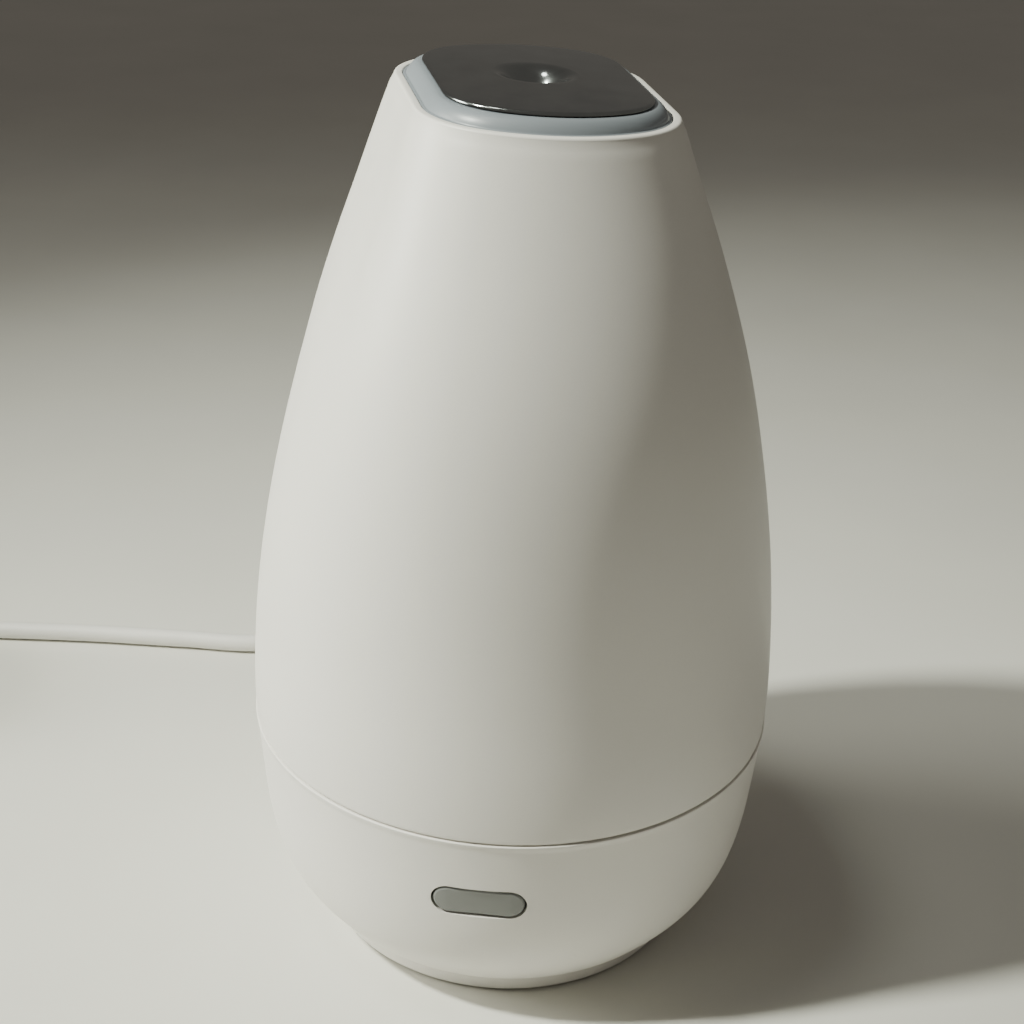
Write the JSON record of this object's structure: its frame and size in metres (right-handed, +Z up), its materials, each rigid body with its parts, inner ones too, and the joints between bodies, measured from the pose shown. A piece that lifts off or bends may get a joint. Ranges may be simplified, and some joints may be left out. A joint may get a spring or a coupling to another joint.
{
  "type": "cool mist humidifier",
  "caption": "Egg-shaped ultrasonic table humidifier: a lift-off water tank with a mirror mist-outlet plate in its lid, on a bowl-shaped base with a push button and mains lead.",
  "frame": {"origin": "on the table, under the middle of the base", "axes": "+Z up; the power button faces -Y; the mains lead leaves the base towards +Y"},
  "size_m": [0.4105, 0.2366, 0.2767],
  "materials": {
    "white_shell": "satin, very fine moulded texture",
    "inner_plastic": "plain moulded",
    "chimney_plastic": "smooth, slightly smoky",
    "ring_plastic": "satin",
    "mirror_plate": "dark mirror",
    "button_grey": "satin, fine grain",
    "float_foam": "foamed",
    "black_plastic": "moulded",
    "silicone": "translucent grey",
    "dark_rubber": "matte",
    "plated_disc": "plated",
    "steel": "zinc plated",
    "aluminium": "extruded",
    "circuit_board": "solder mask",
    "ferrite": "sintered",
    "capacitor_sleeve": "heat-shrunk sleeve",
    "copper_wire": "enamelled wire",
    "cord_white": "soft flexible jacket"
  },
  "bodies": {
    "base": {"air_duct": "inner_plastic", "base_bottom": "white_shell", "base_screw_1": "steel", "base_screw_2": "steel", "base_screw_3": "steel", "base_screw_4": "steel", "base_shell": "white_shell", "board_screw_1": "steel", "board_screw_2": "steel", "bulk_capacitor": "capacitor_sleeve", "button_board": "circuit_board", "clamp_screw_1": "steel", "clamp_screw_2": "steel", "clamp_screw_3": "steel", "control_board": "circuit_board", "cord_coil": "cord_white", "cord_tail": "cord_white", "drive_coil": "copper_wire", "fan_frame": "black_plastic", "fan_motor": "copper_wire", "fan_screw_1": "steel", "fan_screw_2": "steel", "float_stop": "inner_plastic", "heat_sink": "aluminium", "mains_cord": "cord_white", "plug_blade_1": "steel", "plug_blade_2": "steel", "plug_body": "cord_white", "reed_sensor": "black_plastic", "rubber_foot_1": "dark_rubber", "rubber_foot_2": "dark_rubber", "rubber_foot_3": "dark_rubber", "rubber_foot_4": "dark_rubber", "strain_relief": "cord_white", "tact_switch": "black_plastic", "transducer_clamp": "steel", "transducer_disc": "plated_disc", "transducer_seal": "dark_rubber", "transformer_core": "ferrite", "water_basin": "inner_plastic"},
    "tank": {"tank_shell": "white_shell", "tank_floor": "inner_plastic", "mist_chimney": "chimney_plastic", "tank_valve_cap": "inner_plastic", "valve_gasket": "silicone"},
    "lid": {"lid_ring": "ring_plastic", "outlet_plate": "mirror_plate", "lid_tray": "inner_plastic", "lid_seal": "silicone", "outlet_tube": "inner_plastic", "plate_post_1": "inner_plastic", "plate_post_2": "inner_plastic"},
    "valve": {"valve_stem": "black_plastic", "valve_seal": "silicone", "valve_spring": "steel"},
    "float": {"float_ring": "float_foam"},
    "button": {"power_button": "button_grey", "switch_plunger": "black_plastic"},
    "fan": {"fan_rotor": "black_plastic"}
  },
  "joints": [
    {"name": "tank_lift", "type": "slide", "parent": "base", "child": "tank", "axis": [0, 0, 1], "range_m": [0, 0.1]},
    {"name": "lid_lift", "type": "slide", "parent": "tank", "child": "lid", "axis": [0, 0, 1], "range_m": [0, 0.06]},
    {"name": "valve_travel", "type": "slide", "parent": "tank", "child": "valve", "axis": [0, 0, 1], "range_m": [-0.0035, 0], "deforming": ["valve_spring"]},
    {"name": "float_rise", "type": "slide", "parent": "base", "child": "float", "axis": [0, 0, 1], "range_m": [0, 0.0045]},
    {"name": "button_press", "type": "slide", "parent": "base", "child": "button", "axis": [0, 1, 0], "range_m": [0, 0.0008], "stiffness_N_per_m": 800, "springref_m": -0.0005},
    {"name": "fan_spin", "type": "hinge", "parent": "base", "child": "fan", "pos_m": [-0.024, 0, 0.0135], "axis": [0, 0, 1], "continuous": true}
  ],
  "couplings": [
    {"joint": "valve_travel", "follows": "tank_lift", "ratio": -0.035}
  ]
}
